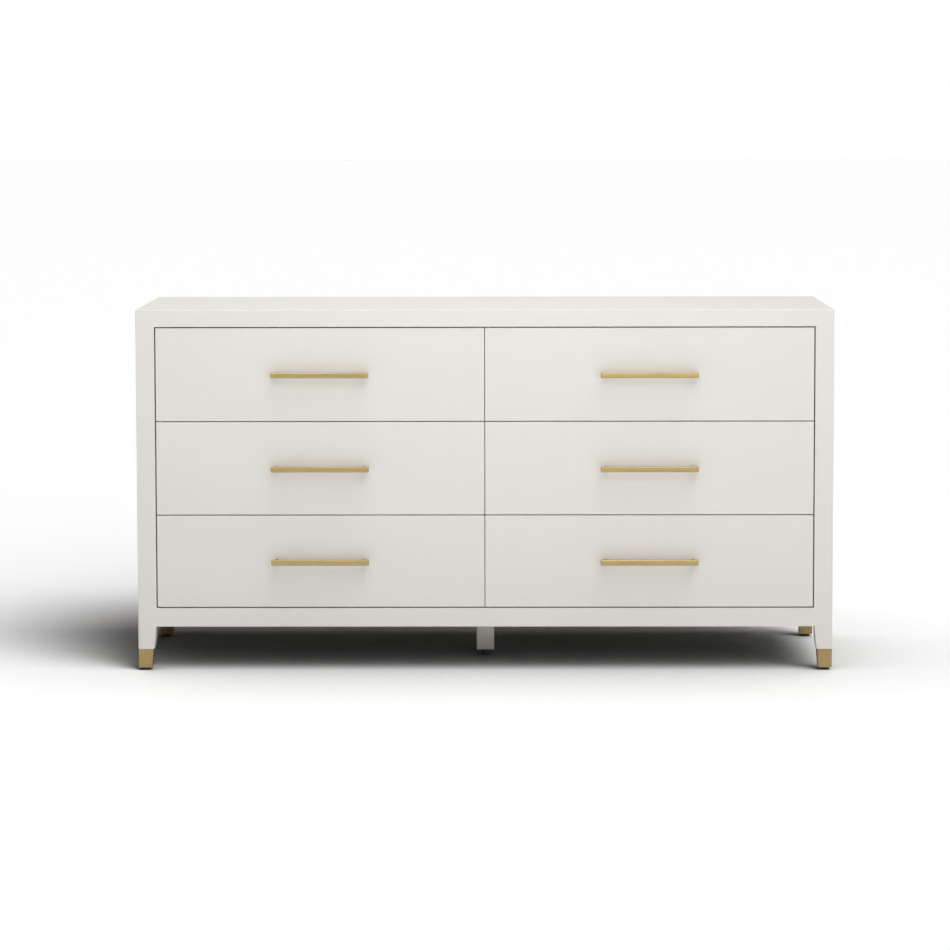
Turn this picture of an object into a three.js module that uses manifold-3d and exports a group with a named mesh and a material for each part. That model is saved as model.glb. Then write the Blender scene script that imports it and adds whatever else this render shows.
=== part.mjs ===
// A wide six-drawer dresser: a frame-and-panel case on five legs, six drawers on side-mounted slides,
// brass bar pulls, brass leg ferrules and screw-in levelling glides.
// Millimetres, +Z up. The front faces -Y and the glides stand on z = 0. The origin is under the middle
// of the object, pulls included.

import Module from 'manifold-3d';
import * as THREE from 'three';
import { mergeVertices } from 'three/addons/utils/BufferGeometryUtils.js';

const wasm = await Module();
wasm.setup();

// ---- Driving dimensions -----------------------------------------------------------------------

const WIDTH = 1524;
const HEIGHT = 794;
const CASE_DEPTH = 457;
const PULL_REACH = 28; // from a drawer front's face to the face of its pull
const FRONT_RECESS = 1; // drawer fronts sit this far behind the frame's face

const FRAME_EDGE = 37; // height of the top panel's built-up edge
const STILE = 40.5; // width of the corner posts seen from the front
const POST_DEPTH = 40;
const RAIL_BOTTOM = 97;
const RAIL_HEIGHT = 41;
const FRONT_RAIL_THICKNESS = 22;
const BACK_RAIL_THICKNESS = 18;
const TOP_BACK_RAIL_HEIGHT = 60;

const SIDE_THICKNESS = 20;
const TOP_FIELD_THICKNESS = 18; // the top panel away from its built-up edge
const TOP_EDGE_WIDTH = 60;
const BOTTOM_THICKNESS = 16;
const BOTTOM_DROP = 3; // the bottom panel's upper face lies this far below the rail's
const BACK_THICKNESS = 6;
const PARTITION_THICKNESS = 20;
const PARTITION_SET_BACK = 1; // behind the bottom front rail

const ROW_HEIGHTS = [202, 204, 204]; // drawer fronts, bottom row first
const ROW_NAMES = ['bottom', 'middle', 'top'];
const EDGE_GAP = 2.5; // between a drawer front and the frame
const ROW_GAP = 2;
const COLUMN_GAP = 1.5;
const FRONT_THICKNESS = 20;

const BOX_LENGTH = 402;
const BOX_HEIGHT = 160;
const BOX_RAISE = 16; // the box's lower edge above its front's lower edge
const BOARD = 12; // thickness of the box's four boards
const GROOVE_DEPTH = 5;
const GROOVE_HEIGHT = 6.5;
const GROOVE_RAISE = 10;
const DRAWER_BOTTOM_THICKNESS = 6;
const BOTTOM_PLAY = 0.25; // between a drawer bottom and the wall of its groove

const SLIDE_SPACE = 12.75; // between a box and what its slide is screwed to
const SLIDE_LENGTH = 406;
const SLIDE_SET_BACK = 25; // from the frame's face to the slide's front end
const SLIDE_HEIGHT = 45;
const SLIDE_SHEET = 1.5;
const SLIDE_FLANGE = 9.5;
const SLIDE_LIP = 2.5;
const SLIDE_RAISE = 50; // the slide's lower edge above the box's lower edge

const PULL_LENGTH = 214;
const PULL_BAR = 12;
const PULL_EDGE_RADIUS = 1.5;
const PULL_CENTRES = 192;
const PULL_POST_RADIUS = 4.5;

const LEG_TOP = 38.5; // the leg's two inner faces step in from the post just under the rail
const LEG_FOOT = 34.5; // where the painted leg meets its ferrule
const LEG_CURVE = 1.8; // exponent of the inward curve
const LEG_STEPS = 8;
const FERRULE_TOP = 47;
const FERRULE_BOTTOM = 6;
const FERRULE_INSET = 0.6; // behind the leg's two outer faces
const FERRULE_TOP_SIZE = 33;
const FERRULE_FOOT_SIZE = 30.2;
const FERRULE_WALL = 1.5;
const TENON_PLAY = 0.3; // between the leg's end and the inside of its ferrule

const CENTRE_LEG = 39;
const CENTRE_LEG_BOTTOM = 14;
const CENTRE_LEG_SET_BACK = 198; // from the frame's face to the leg's axis
const BEARER_WIDTH = 70;
const BEARER_THICKNESS = 18;

const GLIDE_RADIUS = 10;
const GLIDE_HEIGHT = 5;
const CENTRE_GLIDE_HEIGHT = 12; // a thicker pad, screwed nearly up to the plain leg
const GLIDE_CHAMFER = 1;
const STEM_RADIUS = 4;
const STEM_TOP = 33;
const STEM_PLAY = 0.5; // between a glide's stem and the holes that it goes through
const STEM_HOLE_TOP = 40;

const ROUND_SEGMENTS = 24;
const EDGE_SEGMENTS = 3; // in each rounded edge of a pull's bar
const OVERRUN = 5; // how far a solid that cuts or joins another runs past its face

// ---- Places worked out from them --------------------------------------------------------------

const HALF_DEPTH = (CASE_DEPTH + PULL_REACH - FRONT_RECESS) / 2;
const BACK_Y = HALF_DEPTH;
const FRONT_Y = BACK_Y - CASE_DEPTH;
const DRAWER_FACE_Y = FRONT_Y + FRONT_RECESS;

const OUTER_X = WIDTH / 2;
const POST_INNER_X = OUTER_X - STILE;
const SIDE_INNER_X = OUTER_X - SIDE_THICKNESS;
const PARTITION_X = PARTITION_THICKNESS / 2;

const TOP_UNDERSIDE = HEIGHT - FRAME_EDGE;
const TOP_FIELD_UNDERSIDE = HEIGHT - TOP_FIELD_THICKNESS;
const RAIL_TOP = RAIL_BOTTOM + RAIL_HEIGHT;
const FLOOR_PANEL_TOP = RAIL_TOP - BOTTOM_DROP;
const FLOOR_PANEL_BOTTOM = FLOOR_PANEL_TOP - BOTTOM_THICKNESS;

const RAIL_BACK_Y = FRONT_Y + FRONT_RAIL_THICKNESS;
const BACK_RAIL_FRONT_Y = BACK_Y - BACK_RAIL_THICKNESS;
const BACK_PANEL_FRONT_Y = BACK_RAIL_FRONT_Y - BACK_THICKNESS;
const PARTITION_FRONT_Y = RAIL_BACK_Y + PARTITION_SET_BACK;

const FRONT_WIDTH = POST_INNER_X - EDGE_GAP - COLUMN_GAP / 2;
const FRONT_CENTRE_X = COLUMN_GAP / 2 + FRONT_WIDTH / 2;
const BOX_INNER_X = PARTITION_X + SLIDE_SPACE;
const BOX_OUTER_X = POST_INNER_X - SLIDE_SPACE;
const BOX_WIDTH = BOX_OUTER_X - BOX_INNER_X;
const BOX_CENTRE_X = (BOX_INNER_X + BOX_OUTER_X) / 2;

const GLIDE_IN = (FERRULE_INSET + FERRULE_FOOT_SIZE) / 2; // stem axis from the leg's outer faces

// ---- Finishes ---------------------------------------------------------------------------------

const finish = (color, roughness, metalness) =>
  new THREE.MeshStandardMaterial({ color, roughness, metalness });

const paint = finish(0xe9e6df, 0.45, 0);
const brass = finish(0xc6ab72, 0.35, 1);
const birch = finish(0xd9bf94, 0.6, 0);
const plywood = finish(0xcdb083, 0.7, 0);
const steel = finish(0xb9bcc0, 0.4, 1);
const blackPlastic = finish(0x1a1a1a, 0.6, 0);

// ---- Solids -----------------------------------------------------------------------------------

function toSolid(geometry) {
  const bare = geometry.clone();
  bare.deleteAttribute('normal');
  bare.deleteAttribute('uv');
  const merged = mergeVertices(bare);
  const vertProperties = new Float32Array(merged.attributes.position.array);
  const triVerts = new Uint32Array(merged.index.array);
  return new wasm.Manifold(new wasm.Mesh({ numProp: 3, vertProperties, triVerts }));
}

function toGeometry(solid) {
  const mesh = solid.getMesh();
  const geometry = new THREE.BufferGeometry();
  geometry.setAttribute('position', new THREE.BufferAttribute(mesh.vertProperties, 3));
  geometry.setIndex(new THREE.BufferAttribute(mesh.triVerts, 1));
  return geometry;
}

function join(...geometries) {
  return toGeometry(geometries.map(toSolid).reduce((a, b) => a.add(b)));
}

function cut(geometry, ...tools) {
  return toGeometry([geometry, ...tools].map(toSolid).reduce((a, b) => a.subtract(b)));
}

// A box between two corners.
function block([x0, y0, z0], [x1, y1, z1]) {
  const geometry = new THREE.BoxGeometry(x1 - x0, y1 - y0, z1 - z0);
  return geometry.translate((x0 + x1) / 2, (y0 + y1) / 2, (z0 + z1) / 2);
}

// The hole for a glide's stem, from below the floor up, on a given axis.
function stemHole(x, y) {
  const radius = STEM_RADIUS + STEM_PLAY;
  const geometry = new THREE.CylinderGeometry(radius, radius, STEM_HOLE_TOP, ROUND_SEGMENTS);
  return geometry.rotateX(Math.PI / 2).translate(x, y, STEM_HOLE_TOP / 2);
}

// A block whose rectangular section changes with height. Each section holds z, and how far in from the
// case's outer corner it starts (near) and ends (farX, farY); inX and inY are +1 or -1, pointing inwards.
function taperedBlock(sections, inX, inY) {
  const positions = [];
  const faces = [];
  for (const { z, near, farX, farY } of sections) {
    const [x0, x1] = [near * inX, farX * inX].sort((a, b) => a - b);
    const [y0, y1] = [near * inY, farY * inY].sort((a, b) => a - b);
    positions.push(x0, y0, z, x1, y0, z, x1, y1, z, x0, y1, z);
  }
  const last = (sections.length - 1) * 4;
  faces.push(0, 2, 1, 0, 3, 2);
  faces.push(last, last + 1, last + 2, last, last + 2, last + 3);
  for (let ring = 0; ring < last; ring += 4) {
    for (let side = 0; side < 4; side += 1) {
      const next = (side + 1) % 4;
      faces.push(ring + side, ring + next, ring + 4 + next);
      faces.push(ring + side, ring + 4 + next, ring + 4 + side);
    }
  }
  const geometry = new THREE.BufferGeometry();
  geometry.setAttribute('position', new THREE.Float32BufferAttribute(positions, 3));
  geometry.setIndex(faces);
  return geometry;
}

function outline(points) {
  return new THREE.Shape(points.map(([x, y]) => new THREE.Vector2(x, y)));
}

// Extrudes an outline drawn in the Y-Z plane along +X, from x = 0.
function alongX(shape, length) {
  const geometry = new THREE.ExtrudeGeometry(shape, { depth: length, bevelEnabled: false });
  return geometry.rotateX(Math.PI / 2).rotateZ(Math.PI / 2);
}

// Extrudes an outline drawn in the X-Z plane along +Y, from y = 0.
function alongY(shape, length) {
  const geometry = new THREE.ExtrudeGeometry(shape, { depth: length, bevelEnabled: false });
  return geometry.rotateX(Math.PI / 2).translate(0, length, 0);
}

function place(parent, name, geometry, material, x = 0, y = 0, z = 0) {
  const mesh = new THREE.Mesh(geometry, material);
  mesh.name = name;
  mesh.position.set(x, y, z);
  parent.add(mesh);
}

// ---- Case -------------------------------------------------------------------------------------

function buildTopPanel() {
  const slab = block([-OUTER_X, FRONT_Y, TOP_UNDERSIDE], [OUTER_X, BACK_Y, HEIGHT]);
  const hollow = block(
    [-OUTER_X + TOP_EDGE_WIDTH, FRONT_Y + TOP_EDGE_WIDTH, TOP_UNDERSIDE - OVERRUN],
    [OUTER_X - TOP_EDGE_WIDTH, BACK_Y - TOP_EDGE_WIDTH, TOP_FIELD_UNDERSIDE],
  );
  return cut(slab, hollow);
}

// The bottom panel is notched round the four posts.
function buildBottomPanel() {
  const frontNotch = FRONT_Y + POST_DEPTH;
  const backNotch = BACK_Y - POST_DEPTH;
  const halfOutline = [
    [POST_INNER_X, RAIL_BACK_Y],
    [POST_INNER_X, frontNotch],
    [SIDE_INNER_X, frontNotch],
    [SIDE_INNER_X, backNotch],
    [POST_INNER_X, backNotch],
    [POST_INNER_X, BACK_RAIL_FRONT_Y],
  ];
  const otherHalf = halfOutline.map(([x, y]) => [-x, y]).reverse();
  const shape = outline([...halfOutline, ...otherHalf]);
  return new THREE.ExtrudeGeometry(shape, { depth: BOTTOM_THICKNESS, bevelEnabled: false });
}

// The partition stands on the bottom panel, and its top fits into the hollow under the top panel.
function buildPartition() {
  const shape = outline([
    [PARTITION_FRONT_Y, FLOOR_PANEL_TOP],
    [BACK_PANEL_FRONT_Y, FLOOR_PANEL_TOP],
    [BACK_PANEL_FRONT_Y, TOP_UNDERSIDE],
    [BACK_Y - TOP_EDGE_WIDTH, TOP_UNDERSIDE],
    [BACK_Y - TOP_EDGE_WIDTH, TOP_FIELD_UNDERSIDE],
    [FRONT_Y + TOP_EDGE_WIDTH, TOP_FIELD_UNDERSIDE],
    [FRONT_Y + TOP_EDGE_WIDTH, TOP_UNDERSIDE],
    [PARTITION_FRONT_Y, TOP_UNDERSIDE],
  ]);
  return alongX(shape, PARTITION_THICKNESS);
}

function buildCase() {
  const group = new THREE.Group();
  const sideDepth = CASE_DEPTH - 2 * POST_DEPTH;
  const sideHeight = TOP_UNDERSIDE - RAIL_BOTTOM;
  const sideCentreY = (FRONT_Y + BACK_Y) / 2;
  const sideCentreZ = (RAIL_BOTTOM + TOP_UNDERSIDE) / 2;
  for (const [name, side] of [['left', -1], ['right', 1]]) {
    const panel = new THREE.BoxGeometry(SIDE_THICKNESS, sideDepth, sideHeight);
    const x = side * (OUTER_X - SIDE_THICKNESS / 2);
    place(group, `${name}_side_panel`, panel, paint, x, sideCentreY, sideCentreZ);
  }
  place(group, 'top_panel', buildTopPanel(), paint);
  place(group, 'bottom_panel', buildBottomPanel(), paint, 0, 0, FLOOR_PANEL_BOTTOM);
  place(group, 'centre_partition', buildPartition(), paint, -PARTITION_X);

  const openingWidth = 2 * POST_INNER_X;
  const railCentreZ = (RAIL_BOTTOM + RAIL_TOP) / 2;
  const backRailY = BACK_Y - BACK_RAIL_THICKNESS / 2;
  const frontRail = new THREE.BoxGeometry(openingWidth, FRONT_RAIL_THICKNESS, RAIL_HEIGHT);
  place(group, 'bottom_front_rail', frontRail, paint, 0, FRONT_Y + FRONT_RAIL_THICKNESS / 2, railCentreZ);
  const backRail = new THREE.BoxGeometry(openingWidth, BACK_RAIL_THICKNESS, RAIL_HEIGHT);
  place(group, 'bottom_back_rail', backRail, paint, 0, backRailY, railCentreZ);
  const topRail = new THREE.BoxGeometry(openingWidth, BACK_RAIL_THICKNESS, TOP_BACK_RAIL_HEIGHT);
  const topRailZ = TOP_UNDERSIDE - TOP_BACK_RAIL_HEIGHT / 2;
  place(group, 'top_back_rail', topRail, paint, 0, backRailY, topRailZ);

  const backHeight = TOP_UNDERSIDE - FLOOR_PANEL_TOP;
  const back = new THREE.BoxGeometry(openingWidth, BACK_THICKNESS, backHeight);
  const backY = BACK_PANEL_FRONT_Y + BACK_THICKNESS / 2;
  place(group, 'back_panel', back, plywood, 0, backY, FLOOR_PANEL_TOP + backHeight / 2);
  return group;
}

// ---- Legs -------------------------------------------------------------------------------------

// How wide the painted leg is at height z: it curves in from under the rail to the ferrule.
function legSize(z) {
  const down = (RAIL_BOTTOM - z) / (RAIL_BOTTOM - FERRULE_TOP);
  return LEG_TOP - (LEG_TOP - LEG_FOOT) * Math.max(down, 0) ** LEG_CURVE;
}

// The far side of the ferrule at height z, measured from the leg's outer face.
function ferruleSize(z) {
  const down = (FERRULE_TOP - z) / (FERRULE_TOP - FERRULE_BOTTOM);
  return FERRULE_TOP_SIZE - (FERRULE_TOP_SIZE - FERRULE_FOOT_SIZE) * down;
}

// The ferrule's straight taper, moved in by margin on every side.
function ferruleBlock(z0, z1, margin, inX, inY) {
  const sections = [z0, z1].map((z) => {
    const far = ferruleSize(z) - margin;
    return { z, near: FERRULE_INSET + margin, farX: far, farY: far };
  });
  return taperedBlock(sections, inX, inY);
}

// A corner post and its leg are one piece of wood, with a tenon inside the ferrule and a hole for the
// glide's stem.
function buildPost(inX, inY) {
  const upright = taperedBlock(
    [RAIL_BOTTOM, TOP_UNDERSIDE].map((z) => ({ z, near: 0, farX: STILE, farY: POST_DEPTH })),
    inX,
    inY,
  );
  const legSections = [];
  for (let step = 0; step <= LEG_STEPS; step += 1) {
    const z = FERRULE_TOP + ((RAIL_BOTTOM - FERRULE_TOP) * step) / LEG_STEPS;
    legSections.push({ z, near: 0, farX: legSize(z), farY: legSize(z) });
  }
  legSections.push({ z: RAIL_BOTTOM + OVERRUN, near: 0, farX: LEG_TOP, farY: LEG_TOP });
  const leg = taperedBlock(legSections, inX, inY);
  const tenonBottom = FERRULE_BOTTOM + FERRULE_WALL + TENON_PLAY;
  const tenonTop = FERRULE_TOP + OVERRUN;
  const tenon = ferruleBlock(tenonBottom, tenonTop, FERRULE_WALL + TENON_PLAY, inX, inY);
  return cut(join(upright, leg, tenon), stemHole(GLIDE_IN * inX, GLIDE_IN * inY));
}

// A tapered brass cup, open at the top, with a hole in its floor.
function buildFerrule(inX, inY) {
  const cupTop = FERRULE_TOP - TENON_PLAY;
  const outside = ferruleBlock(FERRULE_BOTTOM, cupTop, 0, inX, inY);
  const cupFloor = FERRULE_BOTTOM + FERRULE_WALL;
  const inside = ferruleBlock(cupFloor, cupTop + OVERRUN, FERRULE_WALL, inX, inY);
  return cut(outside, inside, stemHole(GLIDE_IN * inX, GLIDE_IN * inY));
}

// A round pad with a screwed stem, turned in one profile.
function buildGlide(height) {
  const profile = [
    [0, 0],
    [GLIDE_RADIUS - GLIDE_CHAMFER, 0],
    [GLIDE_RADIUS, GLIDE_CHAMFER],
    [GLIDE_RADIUS, height - GLIDE_CHAMFER],
    [GLIDE_RADIUS - GLIDE_CHAMFER, height],
    [STEM_RADIUS, height],
    [STEM_RADIUS, STEM_TOP],
    [0, STEM_TOP],
  ].map(([x, y]) => new THREE.Vector2(x, y));
  return new THREE.LatheGeometry(profile, ROUND_SEGMENTS).rotateX(Math.PI / 2);
}

function buildCornerLeg(name, side, end) {
  const group = new THREE.Group();
  const inX = -side;
  const inY = -end;
  place(group, `${name}_post`, buildPost(inX, inY), paint);
  place(group, `${name}_ferrule`, buildFerrule(inX, inY), brass);
  place(group, `${name}_glide`, buildGlide(GLIDE_HEIGHT), blackPlastic, GLIDE_IN * inX, GLIDE_IN * inY);
  group.position.set(side * OUTER_X, end < 0 ? FRONT_Y : BACK_Y, 0);
  return group;
}

// The centre leg hangs from a bearer that runs under the bottom panel from rail to rail.
function buildCentreLeg() {
  const group = new THREE.Group();
  const bearerBottom = FLOOR_PANEL_BOTTOM - BEARER_THICKNESS;
  const bearerLength = BACK_RAIL_FRONT_Y - RAIL_BACK_Y;
  const bearer = new THREE.BoxGeometry(BEARER_WIDTH, bearerLength, BEARER_THICKNESS);
  const bearerY = RAIL_BACK_Y + bearerLength / 2;
  place(group, 'centre_bearer', bearer, paint, 0, bearerY, FLOOR_PANEL_BOTTOM - BEARER_THICKNESS / 2);
  const half = CENTRE_LEG / 2;
  const leg = block([-half, -half, CENTRE_LEG_BOTTOM], [half, half, bearerBottom]);
  const legY = FRONT_Y + CENTRE_LEG_SET_BACK;
  place(group, 'centre_leg', cut(leg, stemHole(0, 0)), paint, 0, legY);
  place(group, 'centre_glide', buildGlide(CENTRE_GLIDE_HEIGHT), blackPlastic, 0, legY);
  return group;
}

// ---- Drawers and slides -----------------------------------------------------------------------

// Heights of a row's drawer front and of the box behind it.
function rowHeights(row) {
  const below = ROW_HEIGHTS.slice(0, row).reduce((sum, height) => sum + height + ROW_GAP, 0);
  const frontBottom = RAIL_TOP + EDGE_GAP + below;
  return { frontBottom, frontHeight: ROW_HEIGHTS[row], boxBottom: frontBottom + BOX_RAISE };
}

// Four boards joined into a frame, with a groove inside for the bottom.
function buildDrawerBox() {
  const halfWidth = BOX_WIDTH / 2;
  const inner = halfWidth - BOARD;
  const groove = inner + GROOVE_DEPTH;
  const frame = block([-halfWidth, 0, 0], [halfWidth, BOX_LENGTH, BOX_HEIGHT]);
  const inside = block(
    [-inner, BOARD, -OVERRUN],
    [inner, BOX_LENGTH - BOARD, BOX_HEIGHT + OVERRUN],
  );
  const slot = block(
    [-groove, BOARD - GROOVE_DEPTH, GROOVE_RAISE],
    [groove, BOX_LENGTH - BOARD + GROOVE_DEPTH, GROOVE_RAISE + GROOVE_HEIGHT],
  );
  return cut(frame, inside, slot);
}

function buildDrawerBottom() {
  const width = BOX_WIDTH - 2 * (BOARD - GROOVE_DEPTH + BOTTOM_PLAY);
  const length = BOX_LENGTH - 2 * (BOARD - GROOVE_DEPTH + BOTTOM_PLAY);
  return new THREE.BoxGeometry(width, length, DRAWER_BOTTOM_THICKNESS);
}

function roundedSquare(size, radius) {
  const half = size / 2;
  const flat = half - radius;
  const shape = new THREE.Shape();
  shape.moveTo(half, -flat);
  shape.lineTo(half, flat);
  shape.absarc(flat, flat, radius, 0, Math.PI / 2);
  shape.lineTo(-flat, half);
  shape.absarc(-flat, flat, radius, Math.PI / 2, Math.PI);
  shape.lineTo(-half, -flat);
  shape.absarc(-flat, -flat, radius, Math.PI, 1.5 * Math.PI);
  shape.lineTo(flat, -half);
  shape.absarc(flat, -flat, radius, 1.5 * Math.PI, 2 * Math.PI);
  return shape;
}

// A square bar with softened edges on two round posts. Its local y = 0 is the drawer front's face.
function buildPull() {
  const section = roundedSquare(PULL_BAR, PULL_EDGE_RADIUS);
  const extrusion = { depth: PULL_LENGTH, bevelEnabled: false, curveSegments: EDGE_SEGMENTS };
  const bar = new THREE.ExtrudeGeometry(section, extrusion).rotateY(Math.PI / 2);
  bar.translate(-PULL_LENGTH / 2, PULL_BAR / 2 - PULL_REACH, 0);
  const postLength = PULL_REACH - PULL_BAR / 2;
  const posts = [-1, 1].map((side) => {
    const stand = new THREE.CylinderGeometry(
      PULL_POST_RADIUS,
      PULL_POST_RADIUS,
      postLength,
      ROUND_SEGMENTS,
    );
    return stand.translate((side * PULL_CENTRES) / 2, -postLength / 2, 0);
  });
  return join(bar, ...posts);
}

function buildDrawer(column, side, row) {
  const name = `${ROW_NAMES[row]}_${column}`;
  const { frontBottom, frontHeight, boxBottom } = rowHeights(row);
  const group = new THREE.Group();
  const frontZ = frontBottom + frontHeight / 2;
  const front = new THREE.BoxGeometry(FRONT_WIDTH, FRONT_THICKNESS, frontHeight);
  const frontX = side * FRONT_CENTRE_X;
  place(group, `${name}_drawer_front`, front, paint, frontX, FRONT_THICKNESS / 2, frontZ);
  place(group, `${name}_drawer_pull`, buildPull(), brass, frontX, 0, frontZ);
  const boxX = side * BOX_CENTRE_X;
  place(group, `${name}_drawer_box`, buildDrawerBox(), birch, boxX, FRONT_THICKNESS, boxBottom);
  const bottomZ = boxBottom + GROOVE_RAISE + GROOVE_HEIGHT / 2;
  const bottomY = FRONT_THICKNESS + BOX_LENGTH / 2;
  place(group, `${name}_drawer_bottom`, buildDrawerBottom(), plywood, boxX, bottomY, bottomZ);
  group.position.y = DRAWER_FACE_Y;
  return group;
}

// The case member of a slide: a lipped channel whose web is screwed to the case. open is +1 when the
// channel opens towards +X.
function buildSlideChannel(open) {
  const web = SLIDE_SHEET;
  const flange = SLIDE_FLANGE;
  const top = SLIDE_HEIGHT;
  const points = [
    [0, 0],
    [flange, 0],
    [flange, SLIDE_LIP + SLIDE_SHEET],
    [flange - SLIDE_SHEET, SLIDE_LIP + SLIDE_SHEET],
    [flange - SLIDE_SHEET, SLIDE_SHEET],
    [web, SLIDE_SHEET],
    [web, top - SLIDE_SHEET],
    [flange - SLIDE_SHEET, top - SLIDE_SHEET],
    [flange - SLIDE_SHEET, top - SLIDE_LIP - SLIDE_SHEET],
    [flange, top - SLIDE_LIP - SLIDE_SHEET],
    [flange, top],
    [0, top],
  ];
  return alongY(outline(points.map(([x, z]) => [x * open, z])), SLIDE_LENGTH);
}

function buildSlides(column, side, row) {
  const name = `${ROW_NAMES[row]}_${column}`;
  const group = new THREE.Group();
  const channelZ = rowHeights(row).boxBottom + SLIDE_RAISE;
  const channelY = FRONT_Y + SLIDE_SET_BACK;
  const outerX = side * POST_INNER_X;
  const innerX = side * PARTITION_X;
  place(group, `${name}_outer_slide`, buildSlideChannel(-side), steel, outerX, channelY, channelZ);
  place(group, `${name}_inner_slide`, buildSlideChannel(side), steel, innerX, channelY, channelZ);
  return group;
}

// ---- Dresser ----------------------------------------------------------------------------------

const dresser = new THREE.Group();
dresser.name = 'six_drawer_dresser';
dresser.add(buildCase(), buildCentreLeg());
for (const [sideName, side] of [['left', -1], ['right', 1]]) {
  dresser.add(buildCornerLeg(`front_${sideName}`, side, -1));
  dresser.add(buildCornerLeg(`back_${sideName}`, side, 1));
  for (let row = 0; row < ROW_HEIGHTS.length; row += 1) {
    dresser.add(buildDrawer(sideName, side, row), buildSlides(sideName, side, row));
  }
}

export default dresser;
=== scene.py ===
import math
import random

import bmesh
import bpy
from mathutils import Matrix, Vector


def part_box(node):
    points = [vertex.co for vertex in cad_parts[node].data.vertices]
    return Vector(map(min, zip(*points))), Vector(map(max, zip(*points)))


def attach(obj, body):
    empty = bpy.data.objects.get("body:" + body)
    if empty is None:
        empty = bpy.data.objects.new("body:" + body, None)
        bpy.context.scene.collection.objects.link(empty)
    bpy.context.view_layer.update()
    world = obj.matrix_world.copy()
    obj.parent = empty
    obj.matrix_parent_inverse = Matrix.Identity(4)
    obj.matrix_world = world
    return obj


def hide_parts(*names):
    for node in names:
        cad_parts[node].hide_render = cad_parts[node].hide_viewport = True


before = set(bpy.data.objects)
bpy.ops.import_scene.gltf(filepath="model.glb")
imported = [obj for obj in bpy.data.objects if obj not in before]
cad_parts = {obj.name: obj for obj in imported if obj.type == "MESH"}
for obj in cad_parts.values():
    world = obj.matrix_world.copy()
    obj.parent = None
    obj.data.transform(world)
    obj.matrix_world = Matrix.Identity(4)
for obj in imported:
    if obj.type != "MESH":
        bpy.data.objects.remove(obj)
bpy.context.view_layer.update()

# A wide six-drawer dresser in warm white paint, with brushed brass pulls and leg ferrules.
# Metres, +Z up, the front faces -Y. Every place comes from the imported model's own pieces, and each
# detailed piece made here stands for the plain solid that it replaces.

scene = bpy.context.scene
rng = random.Random(6)

MM = 0.001
SIDES = {"left": -1, "right": 1}
ROWS = ("bottom", "middle", "top")
CORNERS = {
    "front_left": (-1, -1),
    "front_right": (1, -1),
    "back_left": (-1, 1),
    "back_right": (1, 1),
}

# ---- Sizes of the details --------------------------------------------------------------------------

OUTER_EDGE = 1.5 * MM  # softened edges of the case
INNER_EDGE = 0.5 * MM  # edges round the drawer openings
SEAM_EDGE = 0.35 * MM  # where a side panel meets its posts
FRONT_EDGE = 0.9 * MM  # softened edges of a drawer front
HAIRLINE = 0.05 * MM
TOP_BORDER = 60 * MM  # width of the top panel's thick edge
EDGE_STEPS = 3

LEG_TOP = 38.5 * MM
LEG_FOOT = 34.5 * MM
LEG_CURVE = 1.8
LEG_STEPS = 20
LEG_EDGE = 1.2 * MM
FERRULE_WALL = 1.5 * MM
FERRULE_EDGE = 1.1 * MM
FERRULE_INSET = 0.6 * MM
FERRULE_TAPER = 2.8 * MM
STEM_HOLE = 4.5 * MM
STEM_HOLE_TOP = 40 * MM
TENON_PLAY = 0.3 * MM
TENON_INSET = FERRULE_WALL + TENON_PLAY  # from a ferrule's outside to the tenon in it

PULL_EDGE = 2.2 * MM
PULL_BAR = 12 * MM
PULL_CENTRES = 192 * MM
PULL_POST_RADIUS = 4.5 * MM
PULL_FOOT_RADIUS = 5.2 * MM
PULL_FOOT_HEIGHT = 1.2 * MM

BOARD = 12 * MM
GROOVE_DEPTH = 5 * MM
GROOVE_HEIGHT = 6.5 * MM
GROOVE_RAISE = 10 * MM
TAILS = 5
TAIL_SLOPE = 1 / 7
TAIL_SHARE = 0.66  # of the spacing, halfway through the board
BOARD_EDGE = 0.9 * MM

SHEET = 1.5 * MM
LIP = 2.5 * MM
MEMBER_SHEET = 1.2 * MM
MEMBER_HALF_HEIGHT = 16.8 * MM
BALL_RADIUS = 1.75 * MM
CAGE_LENGTH = 96 * MM
BALLS = 8  # in each of a cage's two rows
SLIDE_SCREW = (3.8 * MM, 1.6 * MM)  # radius and height of its head

GLIDE_PAD = 5 * MM
CENTRE_GLIDE_PAD = 12 * MM
GLIDE_LOBES = 12
THREAD_PITCH = 1.25 * MM
THREAD_DEPTH = 0.45 * MM


# ---- Mesh helpers ----------------------------------------------------------------------------------

def finish_piece(name, mesh, material, body, slot, *nodes):
    """Makes an object of a mesh, with smooth rounded edges and flat faces, riding on a body."""
    mesh.materials.clear()
    mesh.materials.append(material)
    mesh.shade_smooth()
    mesh.set_sharp_from_angle(angle=math.radians(40))
    piece = bpy.data.objects.new(name, mesh)
    scene.collection.objects.link(piece)
    normals = piece.modifiers.new("even_normals", "WEIGHTED_NORMAL")
    normals.keep_sharp = True
    normals.weight = 100
    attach(piece, body)
    if nodes:
        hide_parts(*nodes)
    return piece


def mesh_of(bm, name):
    bmesh.ops.recalc_face_normals(bm, faces=bm.faces)
    mesh = bpy.data.meshes.new(name)
    bm.to_mesh(mesh)
    bm.free()
    return mesh


def block(low, high):
    """A box between two corners, as a new bmesh."""
    bm = bmesh.new()
    bmesh.ops.create_cube(bm, size=1)
    low, high = Vector(low), Vector(high)
    for v in bm.verts:
        v.co = Vector(low[i] + (v.co[i] + 0.5) * (high[i] - low[i]) for i in range(3))
    return bm


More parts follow.
